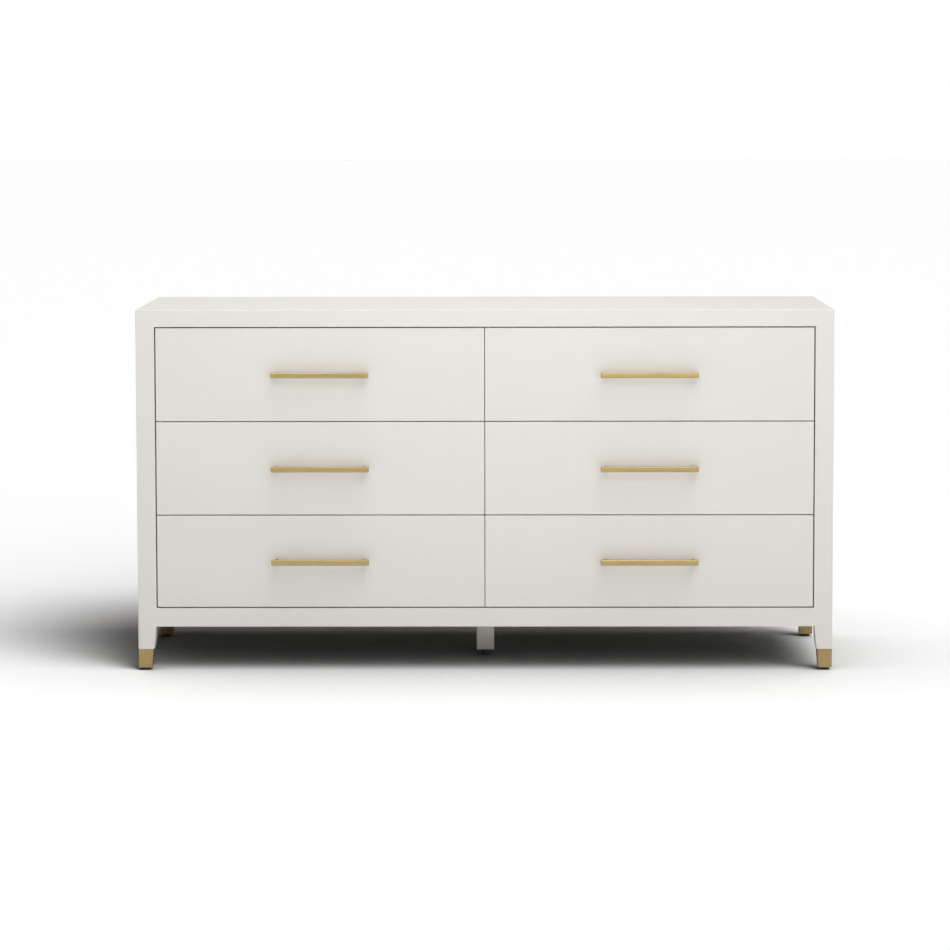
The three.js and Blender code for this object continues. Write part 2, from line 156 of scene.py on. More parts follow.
def ease(bm, radius, chosen=None, steps=EDGE_STEPS):
    """Rounds the chosen edges, and marks the rounded faces in the face attribute 'edge'."""
    layer = bm.faces.layers.float.get("edge") or bm.faces.layers.float.new("edge")
    edges = [e for e in bm.edges if chosen is None or chosen(e)]
    made = bmesh.ops.bevel(
        bm,
        geom=edges,
        offset=radius,
        offset_type="OFFSET",
        segments=steps,
        profile=0.5,
        affect="EDGES",
        clamp_overlap=True,
    )
    for face in made["faces"]:
        face[layer] = 1.0


def along(edge, axis):
    """True if an edge runs along one axis."""
    span = edge.verts[1].co - edge.verts[0].co
    return abs(span[axis]) > 0.999 * span.length


def at(edge, axis, value):
    """True if both ends of an edge are at one coordinate."""
    return all(abs(v.co[axis] - value) < 1e-6 for v in edge.verts)


def loft(rings, closed=False, caps=True):
    """Skins a stack of rings, each a list of as many points, into a closed bmesh."""
    bm = bmesh.new()
    stack = [[bm.verts.new(p) for p in ring] for ring in rings]
    count = len(rings[0])
    pairs = list(zip(stack, stack[1:]))
    if closed:
        pairs.append((stack[-1], stack[0]))
    for below, above in pairs:
        for i in range(count):
            j = (i + 1) % count
            bm.faces.new((below[i], below[j], above[j], above[i]))
    if caps and not closed:
        bm.faces.new(reversed(stack[0]))
        bm.faces.new(stack[-1])
    return bm


def rounded_ring(low, high, z, radii, steps=EDGE_STEPS):
    """A rectangle's outline at height z with rounded corners. The radii follow the corners
    (high x, high y), (low x, high y), (low x, low y), (high x, low y)."""
    points = []
    for k, radius in enumerate(radii):
        right = k in (0, 3)
        back = k in (0, 1)
        cx = high[0] - radius if right else low[0] + radius
        cy = high[1] - radius if back else low[1] + radius
        for s in range(steps + 1):
            turn = math.pi / 2 * (k + s / steps)
            points.append((cx + radius * math.cos(turn), cy + radius * math.sin(turn), z))
    return points


def circle_ring(cx, cy, z, radius, steps=EDGE_STEPS):
    """A circle with as many points as rounded_ring gives, in step with its corners."""
    points = []
    for k in range(4):
        for s in range(steps + 1):
            turn = math.pi / 2 * (k + 0.15 + 0.7 * s / steps)
            points.append((cx + radius * math.cos(turn), cy + radius * math.sin(turn), z))
    return points


def lathe(profile, centre, axis, count=32):
    """Turns a profile of (radius, height) about an axis through centre. It starts and ends at
    radius 0."""
    z = Vector(axis).normalized()
    x = z.orthogonal().normalized()
    y = z.cross(x)
    bm = bmesh.new()
    rings = []
    for radius, height in profile:
        if radius == 0:
            rings.append([bm.verts.new(Vector(centre) + z * height)])
            continue
        ring = []
        for i in range(count):
            turn = 2 * math.pi * i / count
            offset = (x * math.cos(turn) + y * math.sin(turn)) * radius
            ring.append(bm.verts.new(Vector(centre) + offset + z * height))
        rings.append(ring)
    for below, above in zip(rings, rings[1:]):
        for i in range(count):
            j = (i + 1) % count
            if len(below) == 1:
                bm.faces.new((below[0], above[j], above[i]))
            elif len(above) == 1:
                bm.faces.new((below[i], below[j], above[0]))
            else:
                bm.faces.new((below[i], below[j], above[j], above[i]))
    return bm


def merge(target, source):
    """Adds one bmesh's shells to another, and frees it."""
    mesh = bpy.data.meshes.new("part")
    source.to_mesh(mesh)
    source.free()
    target.from_mesh(mesh)
    bpy.data.meshes.remove(mesh)
    return target


def boolean(first, second, operation):
    """The exact union or difference of two bmeshes, as a new bmesh. Both are freed."""
    objects = []
    for bm in (first, second):
        bmesh.ops.recalc_face_normals(bm, faces=bm.faces)
        mesh = bpy.data.meshes.new("operand")
        bm.to_mesh(mesh)
        bm.free()
        operand = bpy.data.objects.new("operand", mesh)
        scene.collection.objects.link(operand)
        objects.append(operand)
    modifier = objects[0].modifiers.new("cut", "BOOLEAN")
    modifier.operation = operation
    modifier.solver = "EXACT"
    modifier.object = objects[1]
    result = bmesh.new()
    evaluated = objects[0].evaluated_get(bpy.context.evaluated_depsgraph_get())
    result.from_mesh(evaluated.to_mesh())
    evaluated.to_mesh_clear()
    for operand in objects:
        mesh = operand.data
        bpy.data.objects.remove(operand)
        bpy.data.meshes.remove(mesh)
    bmesh.ops.remove_doubles(result, verts=result.verts, dist=1e-7)
    return result


def set_grain(bm, place):
    """Stores each point's place in its board, for the wood's solid grain: x runs along it."""
    layer = bm.verts.layers.float_vector.get("grain")
    if layer is None:
        layer = bm.verts.layers.float_vector.new("grain")
    for v in bm.verts:
        v[layer] = place(v.co)


# ---- Materials -------------------------------------------------------------------------------------

class Shader:
    """A node tree with short calls to add and link its nodes."""

    def __init__(self, name):
        self.material = bpy.data.materials.new(name)
        self.material.use_nodes = True
        self.tree = self.material.node_tree
        self.shader = self.tree.nodes["Principled BSDF"]

    def node(self, kind, inputs=None, **settings):
        made = self.tree.nodes.new(kind)
        for key, value in settings.items():
            setattr(made, key, value)
        for key, value in (inputs or {}).items():
            self.plug(made.inputs[key], value)
        return made

    def plug(self, socket, value):
        if isinstance(value, bpy.types.NodeSocket):
            self.tree.links.new(value, socket)
        else:
            socket.default_value = value

    def set(self, **values):
        for key, value in values.items():
            self.plug(self.shader.inputs[key.replace("_", " ")], value)

    def place(self):
        return self.node("ShaderNodeTexCoord").outputs["Object"]

    def scaled(self, vector, scale):
        node = self.node("ShaderNodeMapping", {"Vector": vector, "Scale": scale})
        return node.outputs["Vector"]

    def noise(self, vector, scale, detail=3.0, roughness=0.5, distortion=0.0):
        inputs = {
            "Vector": vector,
            "Scale": scale,
            "Detail": detail,
            "Roughness": roughness,
            "Distortion": distortion,
        }
        return self.node("ShaderNodeTexNoise", inputs).outputs["Fac"]

    def remap(self, value, low, high, to_low, to_high):
        inputs = {
            "Value": value,
            "From Min": low,
            "From Max": high,
            "To Min": to_low,
            "To Max": to_high,
        }
        return self.node("ShaderNodeMapRange", inputs).outputs["Result"]

    def math(self, operation, first, second=0.0):
        node = self.node("ShaderNodeMath", operation=operation)
        self.plug(node.inputs[0], first)
        self.plug(node.inputs[1], second)
        return node.outputs[0]

    def mix(self, factor, first, second):
        node = self.node("ShaderNodeMix", data_type="RGBA")
        self.plug(node.inputs[0], factor)
        self.plug(node.inputs[6], first)
        self.plug(node.inputs[7], second)
        return node.outputs[2]

    def attribute(self, name, output="Fac"):
        return self.node("ShaderNodeAttribute", attribute_name=name).outputs[output]

    def bump(self, height, strength, distance, below=None):
        inputs = {"Height": height, "Strength": strength, "Distance": distance}
        if below is not None:
            inputs["Normal"] = below
        return self.node("ShaderNodeBump", inputs).outputs["Normal"]


def colour(red, green, blue):
    return (red, green, blue, 1.0)


def painted_wood():
    """Satin paint sprayed on close-grained wood: a fine orange peel, the faintest grain showing
    through, a slight drift of tone, and edges that handling has polished, tinted warm in patches:
    partly wear and partly painted shade for the gaps round the drawers."""
    s = Shader("painted_wood_finish")
    place = s.place()
    cloud = s.noise(place, 2.2, 2.0)
    drift = s.noise(place, 14.0, 4.0, 0.6)
    grain = s.noise(s.scaled(place, (9.0, 60.0, 60.0)), 4.0, 4.0, 0.6)
    peel = s.noise(place, 620.0, 2.0, 0.4)
    speck = s.noise(place, 2400.0, 1.0)
    tone = s.mix(s.remap(cloud, 0.35, 0.65, 0.0, 1.0), PAINT_COOL, PAINT_WARM)
    tone = s.mix(s.remap(drift, 0.3, 0.7, 0.0, 0.16), tone, PAINT_SHADE)
    # Painted shade, partly wear: the rounded edges are tinted brownish in patches, which also warms
    # and darkens the gaps round the drawers.
    wear_and_gap_shade = s.math("MULTIPLY", s.attribute("edge"), s.remap(drift, 0.42, 0.6, 0.0, 0.35))
    tone = s.mix(wear_and_gap_shade, tone, PAINT_WORN_AND_GAP_SHADE)
    rough = s.remap(s.noise(place, 38.0, 3.0), 0.3, 0.7, 0.40, 0.50)
    rough = s.math("SUBTRACT", rough, s.math("MULTIPLY", wear_and_gap_shade, 0.3))
    normal = s.bump(grain, 0.10, 0.25 * MM)
    normal = s.bump(peel, 0.16, 0.10 * MM, normal)
    normal = s.bump(speck, 0.05, 0.05 * MM, normal)
    s.set(Base_Color=tone, Roughness=rough, Normal=normal, IOR=1.47)
    return s.material


def brushed_brass(name, light, dark, across):
    """Satin brass, brushed along one direction. across squeezes the brush marks on each axis."""
    s = Shader(name)
    place = s.place()
    marks = s.noise(s.scaled(place, across), 900.0, 4.0, 0.65)
    scratches = s.noise(s.scaled(place, across), 260.0, 2.0, 0.5)
    patina = s.noise(place, 55.0, 4.0, 0.6)
    tone = s.mix(s.remap(marks, 0.35, 0.65, 0.0, 0.55), light, dark)
    tone = s.mix(s.remap(patina, 0.45, 0.75, 0.0, 0.45), tone, dark)
    # Painted highlight: the rounded edges are mixed towards the lighter brass.
    tone = s.mix(s.math("MULTIPLY", s.attribute("edge"), 0.35), tone, light)
    rough = s.remap(marks, 0.3, 0.7, 0.27, 0.43)
    normal = s.bump(scratches, 0.25, 0.05 * MM)
    normal = s.bump(marks, 0.30, 0.03 * MM, normal)
    s.set(Base_Color=tone, Roughness=rough, Normal=normal, Metallic=1.0, Anisotropic=0.55)
    return s.material


def birch():
    """Clear-lacquered solid birch: growth rings cut by the board, fine pores and flecks. The rings
    are a solid pattern, so a board's ends show end grain."""
    s = Shader("lacquered_birch")
    grain = s.attribute("grain", "Vector")
    sway = s.noise(s.scaled(grain, (1.1, 5.0, 5.0)), 3.0, 2.0)
    lift = s.math("MULTIPLY", s.math("SUBTRACT", sway, 0.5), 0.05)
    bent = s.node("ShaderNodeVectorMath", operation="ADD")
    s.plug(bent.inputs[0], s.scaled(grain, (0.05, 1.0, 1.0)))
    s.plug(bent.inputs[1], s.node("ShaderNodeCombineXYZ", {"Y": lift, "Z": lift}).outputs[0])
    wave_inputs = {
        "Vector": bent.outputs[0],
        "Scale": 26.0,
        "Distortion": 1.2,
        "Detail": 3.0,
        "Detail Scale": 2.0,
    }
    rings = s.node(
        "ShaderNodeTexWave", wave_inputs, wave_type="RINGS", rings_direction="X"
    ).outputs["Fac"]
    pores = s.noise(s.scaled(grain, (22.0, 1100.0, 1100.0)), 1.0, 3.0, 0.6)
    flecks = s.noise(s.scaled(grain, (60.0, 420.0, 420.0)), 1.0, 2.0, 0.5)
    clouds = s.noise(s.scaled(grain, (2.0, 9.0, 9.0)), 1.0, 3.0)
    tone = s.mix(s.remap(clouds, 0.3, 0.7, 0.0, 1.0), BIRCH_LIGHT, BIRCH_MID)
    tone = s.mix(s.remap(rings, 0.2, 1.0, 0.0, 0.5), tone, BIRCH_DARK)
    tone = s.mix(s.remap(pores, 0.58, 0.72, 0.0, 0.45), tone, BIRCH_PORE)
    tone = s.mix(s.remap(flecks, 0.62, 0.75, 0.0, 0.3), tone, BIRCH_LIGHT)
    rough = s.remap(pores, 0.3, 0.7, 0.42, 0.58)
    normal = s.bump(pores, 0.2, 0.08 * MM)
    normal = s.bump(rings, 0.06, 0.2 * MM, normal)
    s.set(Base_Color=tone, Roughness=rough, Normal=normal, Coat_Weight=0.15, Coat_Roughness=0.35)
    return s.material


def plywood(name, ply, light, dark):
    """Plywood with a rotary-cut face: broad cathedral figure on the faces, and on the edges thin
    plies that run crosswise in turn."""
    s = Shader(name)
    grain = s.attribute("grain", "Vector")
    depth = s.node("ShaderNodeSeparateXYZ", {"Vector": grain}).outputs["Z"]
    phase = s.math("FRACT", s.math("DIVIDE", depth, 2 * ply))
    crosswise = s.math("GREATER_THAN", phase, 0.5)
    sway = s.noise(s.scaled(grain, (0.9, 4.0, 1.0)), 2.2, 3.0, 0.5, 0.6)
    figure = s.math("FRACT", s.math("MULTIPLY", sway, 9.0))
    crest = s.math("ABSOLUTE", s.math("SUBTRACT", figure, 0.5))
    fibres = s.noise(s.scaled(grain, (14.0, 900.0, 900.0)), 1.0, 3.0, 0.6)
    ends = s.noise(s.scaled(grain, (900.0, 900.0, 900.0)), 1.0, 2.0)
    tone = s.mix(s.remap(crest, 0.0, 0.5, 0.0, 0.6), light, dark)
    tone = s.mix(s.remap(fibres, 0.5, 0.75, 0.0, 0.5), tone, dark)
    edge_tone = s.mix(s.remap(ends, 0.3, 0.7, 0.0, 0.6), dark, BIRCH_PORE)
    tone = s.mix(crosswise, tone, edge_tone)
    normal = s.bump(fibres, 0.25, 0.08 * MM)
    rough = s.remap(fibres, 0.3, 0.7, 0.55, 0.72)
    s.set(Base_Color=tone, Roughness=rough, Normal=normal)
    return s.material


def slide_steel():
    """Zinc-plated steel strip, rolled lengthwise, with a faint spangle."""
    s = Shader("zinc_plated_steel")
    place = s.place()
    rolled = s.noise(s.scaled(place, (1.0, 0.02, 1.0)), 1500.0, 3.0, 0.6)
    spangle = s.node("ShaderNodeTexVoronoi", {"Vector": place, "Scale": 260.0}).outputs["Distance"]
    tone = s.mix(s.remap(rolled, 0.35, 0.65, 0.0, 0.6), STEEL_LIGHT, STEEL_DARK)
    tone = s.mix(s.remap(spangle, 0.0, 1.0, 0.0, 0.2), tone, STEEL_LIGHT)
    rough = s.remap(rolled, 0.3, 0.7, 0.28, 0.42)
    normal = s.bump(rolled, 0.15, 0.03 * MM)
    s.set(Base_Color=tone, Roughness=rough, Normal=normal, Metallic=1.0)
    return s.material


def glide_plastic():
    """Black moulded nylon with a fine spark-eroded texture, greyed a little by the floor."""
    s = Shader("moulded_black_nylon")
    place = s.place()
    texture = s.noise(place, 1400.0, 2.0, 0.6)
    scuff = s.noise(place, 160.0, 4.0, 0.7)
    tone = s.mix(s.remap(scuff, 0.55, 0.8, 0.0, 0.6), NYLON_BLACK, NYLON_GREY)
    rough = s.remap(scuff, 0.3, 0.7, 0.42, 0.62)
    s.set(Base_Color=tone, Roughness=rough, Normal=s.bump(texture, 0.3, 0.06 * MM))
    return s.material


def studio_floor():
    """Plain pale paper, its colour darkened softly with painted contact shade where things close to
    it shut out the open studio.
    """
    s = Shader("studio_floor")
    grit = s.noise(s.place(), 30.0, 4.0, 0.6)
    paper = s.mix(s.remap(grit, 0.3, 0.7, 0.0, 1.0), FLOOR_LIGHT, FLOOR_SHADE)
    openness = s.node("ShaderNodeAmbientOcclusion", {"Distance": CONTACT_REACH}, samples=8)
    # Painted shade: the colour goes towards dark where the ambient occlusion finds things nearby.
    tone = s.mix(openness.outputs["AO"], FLOOR_CONTACT_SHADE, paper)
    s.set(Base_Color=tone, Roughness=0.8, Specular_IOR_Level=0.2)
    return s.material


PAINT_COOL = colour(0.698, 0.684, 0.645)
PAINT_WARM = colour(0.706, 0.685, 0.641)
PAINT_SHADE = colour(0.670, 0.650, 0.600)
# The rounded edges' brownish tint: partly wear, partly painted shade in the gaps.
PAINT_WORN_AND_GAP_SHADE = colour(0.640, 0.590, 0.500)
PULL_LIGHT = colour(0.465, 0.358, 0.168)
PULL_DARK = colour(0.345, 0.254, 0.107)
# The ferrules' brass is a darker copy of the pulls': painted shade for their low place by the floor.
FERRULE_SHADED_LIGHT = colour(0.405, 0.297, 0.146)
FERRULE_SHADED_DARK = colour(0.290, 0.204, 0.092)
BIRCH_LIGHT = colour(0.700, 0.520, 0.320)
BIRCH_MID = colour(0.620, 0.440, 0.250)
BIRCH_DARK = colour(0.480, 0.310, 0.160)
BIRCH_PORE = colour(0.260, 0.150, 0.070)
PLY_LIGHT = colour(0.640, 0.480, 0.300)
PLY_DARK = colour(0.500, 0.350, 0.190)
STEEL_LIGHT = colour(0.620, 0.630, 0.650)
STEEL_DARK = colour(0.420, 0.430, 0.450)
NYLON_BLACK = colour(0.012, 0.012, 0.013)
NYLON_GREY = colour(0.060, 0.058, 0.055)
FLOOR_LIGHT = colour(0.975, 0.975, 0.975)
FLOOR_SHADE = colour(0.960, 0.960, 0.960)
FLOOR_CONTACT_SHADE = colour(0.070, 0.070, 0.070)
CONTACT_REACH = 0.70  # how far away a thing still paints shade on the floor

PAINT = painted_wood()
PULL_BRASS = brushed_brass("satin_brass_pull", PULL_LIGHT, PULL_DARK, (0.015, 1.0, 1.0))
# Brushed the other way, and darker in tone: painted shade for the ferrules' place near the floor.
FERRULE_BRASS = brushed_brass("satin_brass_ferrule", FERRULE_SHADED_LIGHT, FERRULE_SHADED_DARK, (1.0, 1.0, 0.03))
BIRCH = birch()
DRAWER_PLY = plywood("birch_plywood", 1.2 * MM, PLY_LIGHT, PLY_DARK)
STEEL = slide_steel()
NYLON = glide_plastic()


# ---- Case ------------------------------------------------------------------------------------------

def make_top():
    """The top panel: a thick edge round a hollow underside, softened where hands reach it."""
    low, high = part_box("top_panel")
    field_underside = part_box("centre_partition")[1].z
    inner = (
        (low.x + TOP_BORDER, low.y + TOP_BORDER, low.z - TOP_BORDER),
        (high.x - TOP_BORDER, high.y - TOP_BORDER, field_underside),
    )
    bm = block(low, high)
    ease(bm, OUTER_EDGE, lambda e: at(e, 2, high.z) or along(e, 2))
    bm = boolean(bm, block(*inner), "DIFFERENCE")
    finish_piece(
        "top_panel_detailed", mesh_of(bm, "top_panel"), PAINT, "case", "painted_wood", "top_panel"
    )


def flat_edge(edge):
    """True if an edge lies inside a flat face."""
    return edge.calc_face_angle(0.0) < 0.02


def make_panel(node, chosen, radius):
    """A painted board that takes the place of a plain CAD box, with some edges softened."""
    low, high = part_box(node)
    bm = block(low, high)
    ease(bm, radius, lambda e: chosen(e, low, high))
    finish_piece(
        f"{node}_detailed", mesh_of(bm, node), PAINT, "case", "painted_wood", node
    )


def make_painted_boards():
    """Rails, side panels and the bearer over the centre leg."""
    for node in ("left_side_panel", "right_side_panel"):
        make_panel(node, lambda e, low, high: along(e, 2), SEAM_EDGE)

    def rail_edges(edge, low, high):
        return along(edge, 0)

    for node in ("bottom_front_rail", "bottom_back_rail", "top_back_rail"):
        make_panel(node, rail_edges, INNER_EDGE)
    make_panel("centre_bearer", lambda e, low, high: along(e, 1), OUTER_EDGE)
    for node in ("bottom_panel", "centre_partition"):
        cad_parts[node].data.materials.clear()
        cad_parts[node].data.materials.append(PAINT)


def make_back():
    """The plywood back, screwed to the partition down its middle."""
    low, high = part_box("back_panel")
    bm = block(low, high)
    ease(bm, SEAM_EDGE, None, 1)
    set_grain(bm, lambda p: (p.x, p.z, p.y - low.y))
    finish_piece(
        "back_panel_detailed", mesh_of(bm, "back_panel"), DRAWER_PLY, "case", "plywood", "back_panel"
    )
    screws = bmesh.new()
    count = 5
    margin = 60 * MM
    for k in range(count):
        z = low.z + margin + (high.z - low.z - 2 * margin) * k / (count - 1)
        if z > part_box("top_back_rail")[0].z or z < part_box("bottom_back_rail")[1].z:
            continue
        merge(screws, screw_head((0, high.y, z), (0, 1, 0), 4.2 * MM, 1.9 * MM, 20 * k))
    finish_piece(
        "back_panel_screws", mesh_of(screws, "back_panel_screws"), STEEL, "case", "slide_steel"
    )


def screw_head(centre, axis, radius, height, degrees):
    """A pan head with a cross recess, standing on a surface. degrees turns the cross."""
    profile = [(0, -0.2 * MM), (radius, -0.2 * MM), (radius, 0.25 * height)]
    rounds = 5
    for i in range(1, rounds):
        turn = math.pi / 2 * i / rounds
        profile.append((radius * math.cos(turn) ** 0.7, height * (0.25 + 0.75 * math.sin(turn))))
    profile.append((0, height))
    head = lathe(profile, (0, 0, 0), (0, 0, 1), 24)
    reach = radius * 0.62
    width = radius * 0.13
    for turn in (0, 90):
        arm = block((-reach, -width, height * 0.35), (reach, width, height * 2))
        bmesh.ops.rotate(arm, verts=arm.verts, matrix=Matrix.Rotation(math.radians(turn), 3, "Z"))
        head = boolean(head, arm, "DIFFERENCE")
    turn = Matrix.Rotation(math.radians(degrees), 3, "Z")
    aim = Vector(axis).to_track_quat("Z", "Y").to_matrix()
    bmesh.ops.rotate(head, verts=head.verts, matrix=aim @ turn)
    bmesh.ops.translate(head, verts=head.verts, vec=Vector(centre))
    return head


# ---- Legs ------------------------------------------------------------------------------------------

def square_ring(corner, inward, near, far_x, far_y, z, outer_edge, inner_edge, side_edge=None):
    """The rounded outline of a post, leg or ferrule at height z, near to far in from the case's
    corner. outer_edge rounds the corner on the case's own corner, inner_edge the opposite one, and
    side_edge the two others."""
    side_edge = inner_edge if side_edge is None else side_edge
    xs = sorted((corner[0] + inward[0] * near, corner[0] + inward[0] * far_x))
    ys = sorted((corner[1] + inward[1] * near, corner[1] + inward[1] * far_y))
    radii = []
    for right, back in ((1, 1), (-1, 1), (-1, -1), (1, -1)):
        outer_x = right == -inward[0]
        outer_y = back == -inward[1]
        if outer_x and outer_y:
            radii.append(outer_edge)
        elif outer_x or outer_y:
            radii.append(side_edge)
        else:
            radii.append(inner_edge)
    return rounded_ring((xs[0], ys[0]), (xs[1], ys[1]), z, radii)


def make_post(name, side, end):
    """A corner post that carries on down as a leg curving in on its two inner faces, with a tenon
    for the ferrule and a hole for the glide."""
    low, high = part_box(f"{name}_post")
    ferrule_low, ferrule_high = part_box(f"{name}_ferrule")
    rail_low, rail_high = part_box("bottom_front_rail")
    glide_low, glide_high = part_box(f"{name}_glide")
    corner = (low.x if side < 0 else high.x, low.y if end < 0 else high.y)
    inward = (-side, -end)
    width = high.x - low.x
    depth = high.y - low.y
    axis = ((glide_low.x + glide_high.x) / 2, (glide_low.y + glide_high.y) / 2)
    ferrule_top = ferrule_high.z + TENON_PLAY

    def upright(z, front_edge):
        return square_ring(corner, inward, 0, width, depth, z, LEG_EDGE, HAIRLINE, front_edge)

    def leg(z, shrink=0.0):
        down = max(rail_low.z - z, 0) / (rail_low.z - ferrule_top)
        size = LEG_TOP - (LEG_TOP - LEG_FOOT) * down ** LEG_CURVE - shrink
        return square_ring(corner, inward, shrink, size, size, z, LEG_EDGE, LEG_EDGE)

    def tenon(z):
        near, far = ferrule_span(name, z)
        far -= TENON_INSET
        return square_ring(corner, inward, near + TENON_INSET, far, far, z, LEG_EDGE, LEG_EDGE)

    tenon_bottom = ferrule_low.z + TENON_INSET
    rings = [upright(high.z, INNER_EDGE), upright(rail_high.z + 1 * MM, INNER_EDGE)]
    rings += [upright(rail_high.z, HAIRLINE), upright(rail_low.z + 0.4 * MM, HAIRLINE)]
    rings.append(square_ring(corner, inward, 0, width - 0.4 * MM, depth - 0.4 * MM, rail_low.z,
                             LEG_EDGE, HAIRLINE, HAIRLINE))
    for step in range(LEG_STEPS + 1):
        z = rail_low.z - (rail_low.z - ferrule_top) * step / LEG_STEPS
        if step == LEG_STEPS:
            rings.append(leg(z + 0.5 * MM))
            rings.append(leg(z, 0.5 * MM))
        else:
            rings.append(leg(z))
    rings += [tenon(ferrule_top), tenon(tenon_bottom)]
    rings.append(circle_ring(*axis, tenon_bottom, STEM_HOLE))
    rings.append(circle_ring(*axis, STEM_HOLE_TOP, STEM_HOLE))
    bm = loft(rings)
    finish_piece(
        f"{name}_post_detailed", mesh_of(bm, f"{name}_post"), PAINT, "case", "painted_wood",
        f"{name}_post",
    )


def ferrule_span(name, z):
    """How far in from the case's two outer faces a ferrule starts and ends at height z."""
    low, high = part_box(f"{name}_ferrule")
    near = FERRULE_INSET
    top_size = near + (high.x - low.x)
    foot_size = top_size - FERRULE_TAPER
    share = (z - low.z) / (high.z - low.z)
    return near, foot_size + (top_size - foot_size) * share


def make_ferrule(name, side, end):
    """A tapered brass cup with a rolled rim, drilled in its floor for the glide's stem."""
    low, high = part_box(f"{name}_ferrule")
    glide_low, glide_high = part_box(f"{name}_glide")
    corner = (
        low.x - FERRULE_INSET if side < 0 else high.x + FERRULE_INSET,
        low.y - FERRULE_INSET if end < 0 else high.y + FERRULE_INSET,
    )
    inward = (-side, -end)
    axis = ((glide_low.x + glide_high.x) / 2, (glide_low.y + glide_high.y) / 2)

    def ring(z, inset, edge):
        near, far = ferrule_span(name, z)
        edge = max(edge, 0.3 * MM)
        return square_ring(corner, inward, near + inset, far - inset, far - inset, z, edge, edge)

    floor = low.z + FERRULE_WALL
    soft = 0.4 * MM
    rings = [
        ring(low.z + soft, 0, FERRULE_EDGE),
        ring(high.z - soft, 0, FERRULE_EDGE),
        ring(high.z - 0.3 * soft, 0.3 * soft, FERRULE_EDGE),
        ring(high.z, soft, FERRULE_EDGE),
        ring(high.z, FERRULE_WALL - 0.2 * MM, FERRULE_EDGE),
        ring(high.z - 0.3 * MM, FERRULE_WALL, FERRULE_EDGE),
        ring(floor, FERRULE_WALL, FERRULE_EDGE),
        circle_ring(*axis, floor, STEM_HOLE),
        circle_ring(*axis, low.z, STEM_HOLE),
        ring(low.z, soft, FERRULE_EDGE),
        ring(low.z + 0.3 * soft, 0.3 * soft, FERRULE_EDGE),
    ]
    bm = loft(rings, closed=True)
    finish_piece(
        f"{name}_ferrule_detailed", mesh_of(bm, f"{name}_ferrule"), FERRULE_BRASS, "case",
        "brushed_brass", f"{name}_ferrule",
    )


def make_glide(name):
    """A levelling glide: a lobed pad to turn by hand, on a screwed stem."""
    low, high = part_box(f"{name}_glide")
    cx, cy = (low.x + high.x) / 2, (low.y + high.y) / 2
    radius = (high.x - low.x) / 2
    pad_top = CENTRE_GLIDE_PAD if name == "centre" else GLIDE_PAD
    count = GLIDE_LOBES * 8

    def lobed(z, size, depth):
        points = []
        for i in range(count):
            turn = 2 * math.pi * i / count
            reach = size - depth * (0.5 - 0.5 * math.cos(GLIDE_LOBES * turn)) ** 3
            points.append((cx + reach * math.cos(turn), cy + reach * math.sin(turn), z))
        return points

    lobe = 0.7 * MM
    rings = [
        lobed(low.z, radius - 1.0 * MM, 0),
        lobed(low.z + 0.3 * MM, radius - 0.3 * MM, 0),
        lobed(low.z + 1.2 * MM, radius - 0.2 * MM, 0),
        lobed(low.z + 1.5 * MM, radius, lobe),
        lobed(pad_top - 0.9 * MM, radius, lobe),
        lobed(pad_top - 0.3 * MM, radius - 0.4 * MM, lobe),
        lobed(pad_top, radius - 1.1 * MM, lobe),
        lobed(pad_top, 6.0 * MM, 0),
        lobed(pad_top + 0.6 * MM, 5.6 * MM, 0),
        lobed(pad_top + 0.6 * MM, 4.0 * MM, 0),
    ]
    turns = int((high.z - pad_top - 2.6 * MM) / THREAD_PITCH)
    start = pad_top + 1.2 * MM
    for k in range(turns):
        z = start + k * THREAD_PITCH
        rings.append(lobed(z, 4.0 * MM - THREAD_DEPTH, 0))
        rings.append(lobed(z + THREAD_PITCH / 2, 4.0 * MM, 0))
    rings.append(lobed(high.z - 0.8 * MM, 4.0 * MM - THREAD_DEPTH, 0))
    rings.append(lobed(high.z, 3.0 * MM, 0))
    body = "centre_foot" if name == "centre" else f"{name}_foot"
    finish_piece(
        f"{name}_glide_detailed", mesh_of(loft(rings), f"{name}_glide"), NYLON, body,
        "glide_plastic", f"{name}_glide",
    )


def make_centre_leg():
    """The plain square leg under the middle, with chamfered foot edges."""
    low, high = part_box("centre_leg")
    cx, cy = (low.x + high.x) / 2, (low.y + high.y) / 2
    half = (high.x - low.x) / 2
    edge = [OUTER_EDGE] * 4

    def ring(z, inset):
        size = half - inset
        return rounded_ring((cx - size, cy - size), (cx + size, cy + size), z, edge)

    rings = [
        ring(high.z, 0),
        ring(low.z + 1 * MM, 0),
        ring(low.z + 0.3 * MM, 0.3 * MM),
        ring(low.z, 1 * MM),
        circle_ring(cx, cy, low.z, STEM_HOLE),
        circle_ring(cx, cy, STEM_HOLE_TOP, STEM_HOLE),
    ]
    finish_piece(
        "centre_leg_detailed", mesh_of(loft(rings), "centre_leg"), PAINT, "case", "painted_wood",
        "centre_leg",
    )


# ---- Drawers ---------------------------------------------------------------------------------------

def make_front(name, body):
    low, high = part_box(f"{name}_front")
    bm = block(low, high)
    ease(bm, FRONT_EDGE, lambda e: not at(e, 1, high.y))
    finish_piece(
        f"{name}_front_detailed", mesh_of(bm, f"{name}_front"), PAINT, body, "painted_wood",
        f"{name}_front",
    )


